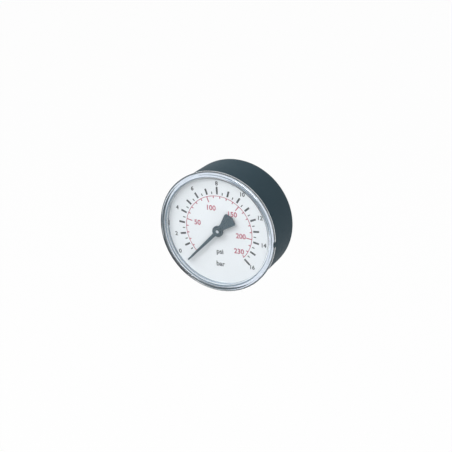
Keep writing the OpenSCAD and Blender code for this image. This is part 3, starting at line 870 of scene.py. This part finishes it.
class GAUGE_OT_stage(bpy.types.Operator):
    """Set up the light, the floor, the dark card and the camera"""

    bl_idname = "gauge.stage"
    bl_label = "Studio"

    def execute(self, context):
        scene = context.scene
        studio = scene.gauge_studio
        self.world(scene, studio)
        self.floor(scene, studio)
        self.card(scene, studio)
        key = self.lamp(scene, "key_lamp", studio.key, studio.key_size, studio.key_place)
        key.visible_glossy = False
        self.lamp(scene, "fill_lamp", studio.fill, studio.fill_size, studio.fill_place)
        self.lamp(
            scene, "top_lamp", studio.top, studio.top_size, studio.top_place, studio.top_turn)
        self.camera(scene, studio)
        scene.view_settings.view_transform = "Standard"
        return {"FINISHED"}

    @staticmethod
    def seen(tree):
        """Return 1 for rays that show the background: to the eye, by gloss or through glass."""
        names = ("Is Camera Ray", "Is Glossy Ray", "Is Transmission Ray", "Diffuse Depth")
        eye, gloss, glass, bounces = [
            tree.add("ShaderNodeLightPath", output=name) for name in names]
        return (eye + gloss + glass > 0.5) * (1 - (bounces > 0.5))

    def world(self, scene, studio):
        """Light the scene from all round, before a white background."""
        scene.world = bpy.data.worlds.new("studio_light")
        tree = Tree(scene.world)
        seen = self.seen(tree)
        strength = seen + (1 - seen) * studio.ambient
        light = tree.add("ShaderNodeBackground", None, {"Color": WHITE, "Strength": strength})
        tree.add("ShaderNodeOutputWorld", None, {"Surface": light})

    def floor(self, scene, studio):
        """Lay a paper floor that shows nearly white and keeps the gauge's shadow."""
        material, tree = new_material("studio_floor")
        paper = tree.add("ShaderNodeBsdfDiffuse", None, {"Color": (*studio.paper, 1.0)})
        glow = tree.add("ShaderNodeEmission", None, {"Color": WHITE, "Strength": 1.0})
        blend = tree.add(
            "ShaderNodeMixShader", None, {0: self.seen(tree) * studio.glow, 1: paper, 2: glow})
        tree.add("ShaderNodeOutputMaterial", None, {"Surface": blend})
        side = studio.floor_size
        corner = (-side / 2, -side / 2, studio.floor)
        self.sheet(scene, "studio_floor", corner, (side, side), material)

    def card(self, scene, studio):
        """Lay a dark card that only shiny and clear surfaces show, for the rim's dark edge."""
        material, tree = new_material("studio_card")
        dark = (*studio.card, 1.0)
        shade = tree.add("ShaderNodeEmission", None, {"Color": dark, "Strength": 1.0})
        tree.add("ShaderNodeOutputMaterial", None, {"Surface": shade})
        x, y, lift = studio.card_place
        corner = (x, y, studio.floor + lift)
        card = self.sheet(scene, "studio_card", corner, studio.card_size, material)
        card.visible_camera = False
        card.visible_diffuse = False
        card.visible_shadow = False

    @staticmethod
    def sheet(scene, name, corner, size, material):
        """Return a level sheet of the stage, from its near left corner and its size."""
        x, y, z = corner
        width, depth = size
        mesh = bpy.data.meshes.new(name)
        mesh.from_pydata(
            [(x, y, z), (x + width, y, z), (x + width, y + depth, z), (x, y + depth, z)],
            [], [(0, 1, 2, 3)])
        mesh.materials.append(material)
        sheet = bpy.data.objects.new(name, mesh)
        scene.collection.objects.link(sheet)
        return sheet

    @staticmethod
    def middle():
        """Return the centre of the rim's front."""
        return Vector((0.0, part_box("window")[0].y, 0.0))

    def lamp(self, scene, name, watts, size, place, turn=0.0):
        """Return an area lamp that is aimed at the rim and turned about its beam."""
        light = bpy.data.lights.new(name, "AREA")
        light.energy = watts
        light.shape = "RECTANGLE"
        light.size, light.size_y = size
        lamp = bpy.data.objects.new(name, light)
        lamp.location = place
        aim = (self.middle() - lamp.location).to_track_quat("-Z", "Y")
        lamp.rotation_euler = (aim @ Quaternion((0.0, 0.0, 1.0), turn)).to_euler()
        scene.collection.objects.link(lamp)
        return lamp

    def camera(self, scene, studio):
        """Aim a camera at the rim from the studio's angle."""
        lens = bpy.data.cameras.new("photo_camera")
        lens.lens = studio.lens
        lens.shift_x = studio.shift_x
        lens.shift_y = studio.shift_y
        camera = bpy.data.objects.new("photo_camera", lens)
        level = math.cos(studio.elevation)
        away = Vector((
            level * math.sin(studio.azimuth),
            -level * math.cos(studio.azimuth),
            math.sin(studio.elevation)))
        camera.location = self.middle() + studio.distance * away
        aim = (-away).to_track_quat("-Z", "Y") @ Quaternion((0.0, 0.0, 1.0), -studio.roll)
        camera.rotation_euler = aim.to_euler()
        scene.collection.objects.link(camera)
        scene.camera = camera


class GAUGE_PT_panel(bpy.types.Panel):
    """Lists the gauge's operators"""

    bl_label = "Pressure gauge"
    bl_idname = "GAUGE_PT_panel"
    bl_space_type = "VIEW_3D"
    bl_region_type = "UI"
    bl_category = "Gauge"

    def draw(self, context):
        for operator in OPERATORS:
            self.layout.operator(operator.bl_idname)


OPERATORS = (
    GAUGE_OT_metal, GAUGE_OT_case, GAUGE_OT_window, GAUGE_OT_dial, GAUGE_OT_pointer,
    GAUGE_OT_stem, GAUGE_OT_tube, GAUGE_OT_stage)
GROUPS = {
    "gauge_print": GaugePrint,
    "gauge_window": GaugeWindow,
    "gauge_thread": GaugeThread,
    "gauge_colours": GaugeColours,
    "gauge_studio": GaugeStudio,
}


def register():
    """Add the classes and the scene's settings."""
    for cls in (*GROUPS.values(), *OPERATORS, GAUGE_PT_panel):
        bpy.utils.register_class(cls)
    for name, group in GROUPS.items():
        setattr(bpy.types.Scene, name, bpy.props.PointerProperty(type=group))


def unregister():
    """Take the settings and the classes away again."""
    for name in GROUPS:
        delattr(bpy.types.Scene, name)
    for cls in (GAUGE_PT_panel, *OPERATORS[::-1], *GROUPS.values()):
        bpy.utils.unregister_class(cls)


def main():
    """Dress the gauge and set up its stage."""
    register()
    for operator in OPERATORS:
        group, name = operator.bl_idname.split(".")
        getattr(getattr(bpy.ops, group), name)()


if __name__ == "__main__":
    main()
